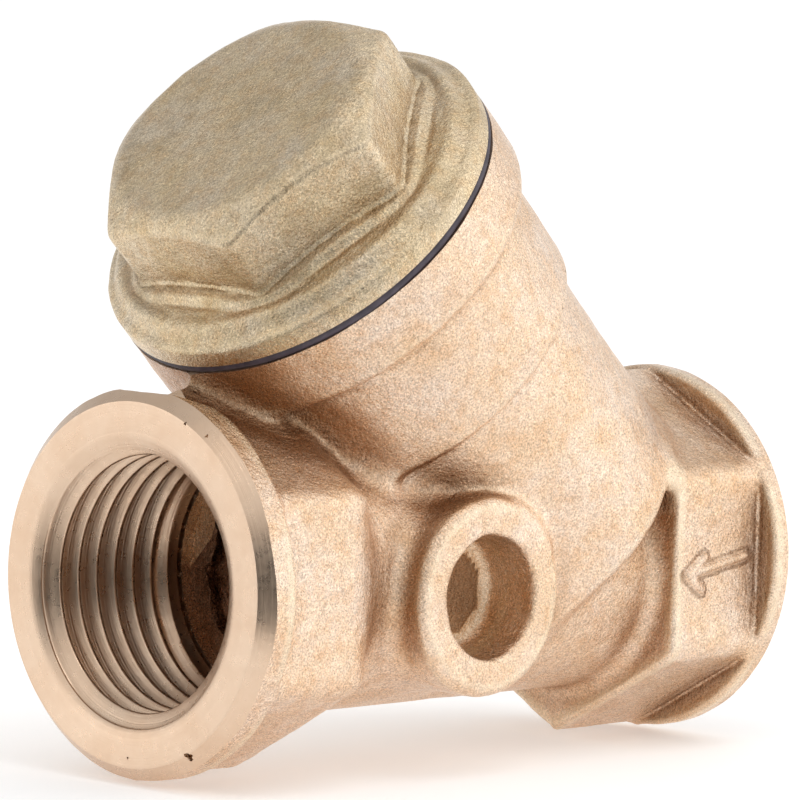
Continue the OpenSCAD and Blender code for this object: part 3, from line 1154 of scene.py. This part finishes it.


# ---------------------------------------------------------------- the pieces

# in the cast materials, darker corners and hollows are painted shade, and paler edges are part wear
# and part painted highlight
BRONZE_CAST = cast_metal(
    "bronze_cast",
    pale=(0.85, 0.64, 0.47),
    mid=(0.81, 0.58, 0.39),
    dark=(0.36, 0.21, 0.12),
    tint=(0.86, 0.68, 0.54),
    corner_shade=0.6,
)
BRONZE_CORE = cast_metal(
    "bronze_core",
    pale=(0.34, 0.20, 0.13),
    mid=(0.27, 0.14, 0.08),
    dark=(0.09, 0.05, 0.03),
    tint=(0.42, 0.26, 0.18),
    corner_shade=0.3,
)
BRASS_CAST = cast_metal(
    "brass_cast",
    pale=(0.73, 0.59, 0.40),
    mid=(0.71, 0.56, 0.35),
    dark=(0.32, 0.24, 0.13),
    tint=(0.73, 0.61, 0.45),
    corner_shade=0.6,
    rub_and_highlight=0.85,
    smudge=0.4,
)
BRONZE_CUT = machined_metal("bronze_machined", (0.76, 0.57, 0.42), (0.71, 0.51, 0.36))
BRASS_CUT = machined_metal("brass_machined", (0.56, 0.46, 0.28), (0.50, 0.39, 0.22), round_leg=True)

# the mesh's step in millimetres, and the bend in degrees from which a cast edge is sharp
BODY_STEP = 0.42
CAP_STEP = 0.32
CAST_EDGE = 45

body, body_faces = build_body(BODY_STEP)
dress(body, body_faces, BRONZE_CAST, BRONZE_CUT, BRONZE_CORE)
finish_mesh(body, CAST_EDGE)
# the flow arrow's foot adds painted shade to the body's tight corners
mark_relief(body, casting_outside, arrow_foot_shade)
cap, cap_faces = build_cap(CAP_STEP)
dress(cap, cap_faces, BRASS_CAST, BRASS_CUT)
finish_mesh(cap, CAST_EDGE)
mark_relief(cap, cap_blank)
gasket = finish_mesh(dress(build_gasket(), None, rubber("gasket_rubber")), 50)
screen = finish_mesh(dress(build_screen(), None, steel("screen_steel")), 35)

for piece, carrier, node, slot in (
    (body, "casting", "body", "cast_bronze"),
    (cap, "cap", "cap", "cast_brass"),
    (gasket, "screen_carrier", "gasket", "fibre_rubber"),
    (screen, "screen_carrier", "screen", "stainless"),
):
    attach(piece, carrier)
    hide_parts(node)
    print("piece", piece.name, len(piece.data.polygons), "faces")

# ---------------------------------------------------------------- floor, light and camera

# from here on in metres
FLOOR_Z = cad_low.z - 0.0004
FLOOR_HALF = 30.0
corners = [(-1, -1, 0), (1, -1, 0), (1, 1, 0), (-1, 1, 0)]
floor = make_object("floor", np.array(corners) * FLOOR_HALF, [[0, 1, 2, 3]], 1.0)
floor.location.z = FLOOR_Z
floor.data.materials.append(pale_floor("floor_pale"))

TARGET = (cad_low + cad_high) / 2


def softbox(name, direction, distance, size, power):
    """A square area light in a direction from the object, facing it."""
    light = bpy.data.lights.new(name, "AREA")
    light.shape = "SQUARE"
    light.size = size
    light.energy = power
    lamp = bpy.data.objects.new(name, light)
    bpy.context.scene.collection.objects.link(lamp)
    away = Vector(direction).normalized()
    lamp.location = TARGET + away * distance
    lamp.rotation_mode = "QUATERNION"
    lamp.rotation_quaternion = away.to_track_quat("Z", "Y")


softbox("right_box", (0.80, -0.62, 0.16), 0.8, 0.55, 1.15)
softbox("left_box", (-0.72, 0.74, 0.12), 0.8, 0.6, 0.7)
softbox("front_box", (-0.10, -0.36, 0.93), 0.9, 0.42, 0.75)

# the viewpoint, its heading, pitch and roll, and the lens
VIEW_FROM = Vector((-0.27014, -0.29175, 0.04424))
VIEW_HEADING = math.radians(44.5574)
VIEW_PITCH = math.radians(-4.3768)
VIEW_ROLL = math.radians(1.5944)
LENS_MM = 249.5
DIM_CEILING = Vector((-0.08, 0.70, 0.71))


def world_light():
    """A white room: a little dimmer above the horizon, and dark around the viewpoint."""
    world = bpy.data.worlds.new("studio")
    bpy.context.scene.world = world
    n = Nodes(world)
    colour = n.ramp(n.split(n.way)[2], [(0.0, 1.0), (0.25, 0.88), (1.0, 1.0)])
    for middle, stops in (
        (VIEW_FROM - TARGET, [(0.88, 1.0), (0.97, (0.10, 0.10, 0.11))]),
        (DIM_CEILING, [(0.62, 1.0), (0.90, 0.60)]),
    ):
        spot = n.ramp(n.dot(n.way, middle.normalized()), stops)
        colour = n.mix(1.0, colour, spot, "MULTIPLY")
    back = n.tree.nodes["Background"]
    n.link(colour, back.inputs["Color"])
    back.inputs["Strength"].default_value = 1.0


world_light()


def dark_card():
    """The dark side of the room, seen only in reflections: a low curved wall and its floor."""
    low, high, far = FLOOR_Z + 0.0003, 0.062, 0.21
    rows = [(0.066, low), (far - 0.01, low), (far, FLOOR_Z + 0.001), (far, high)]
    first, spread, steps = -52, 72, 24
    middle = VIEW_HEADING + math.pi
    points, faces = [], []
    for i in range(steps + 1):
        angle = middle + math.radians(first + spread * i / steps)
        for reach, height in rows:
            points.append((reach * math.cos(angle) + TARGET.x, reach * math.sin(angle), height))
    for i in range(steps):
        for k in range(len(rows) - 1):
            a = i * len(rows) + k
            faces.append([a, a + 1, a + 1 + len(rows), a + len(rows)])
    card = make_object("dark_card", points, faces, 1.0)
    n = Nodes.of_material("card_black")
    n.set("Base Color", n.ramp(n.noise(6), [(0.3, 0.07), (0.7, 0.09)]))
    n.set("Roughness", 0.9)
    card.data.materials.append(n.material)
    card.visible_camera = False
    card.visible_diffuse = False
    card.visible_shadow = False


dark_card()


def make_camera():
    """A long lens at the viewpoint."""
    forward = Vector(
        (
            math.cos(VIEW_PITCH) * math.cos(VIEW_HEADING),
            math.cos(VIEW_PITCH) * math.sin(VIEW_HEADING),
            math.sin(VIEW_PITCH),
        )
    )
    level = forward.cross(Vector((0, 0, 1))).normalized()
    upright = level.cross(forward)
    right = level * math.cos(VIEW_ROLL) + upright * math.sin(VIEW_ROLL)
    top = right.cross(forward)
    turn = Matrix((right, top, -forward)).transposed()
    data = bpy.data.cameras.new("camera")
    data.sensor_width = 36.0
    data.lens = LENS_MM
    data.clip_start = 0.01
    data.clip_end = 100.0
    camera = bpy.data.objects.new("camera", data)
    bpy.context.scene.collection.objects.link(camera)
    camera.matrix_world = Matrix.Translation(VIEW_FROM) @ turn.to_4x4()
    bpy.context.scene.camera = camera


make_camera()
bpy.context.scene.view_settings.view_transform = "Standard"
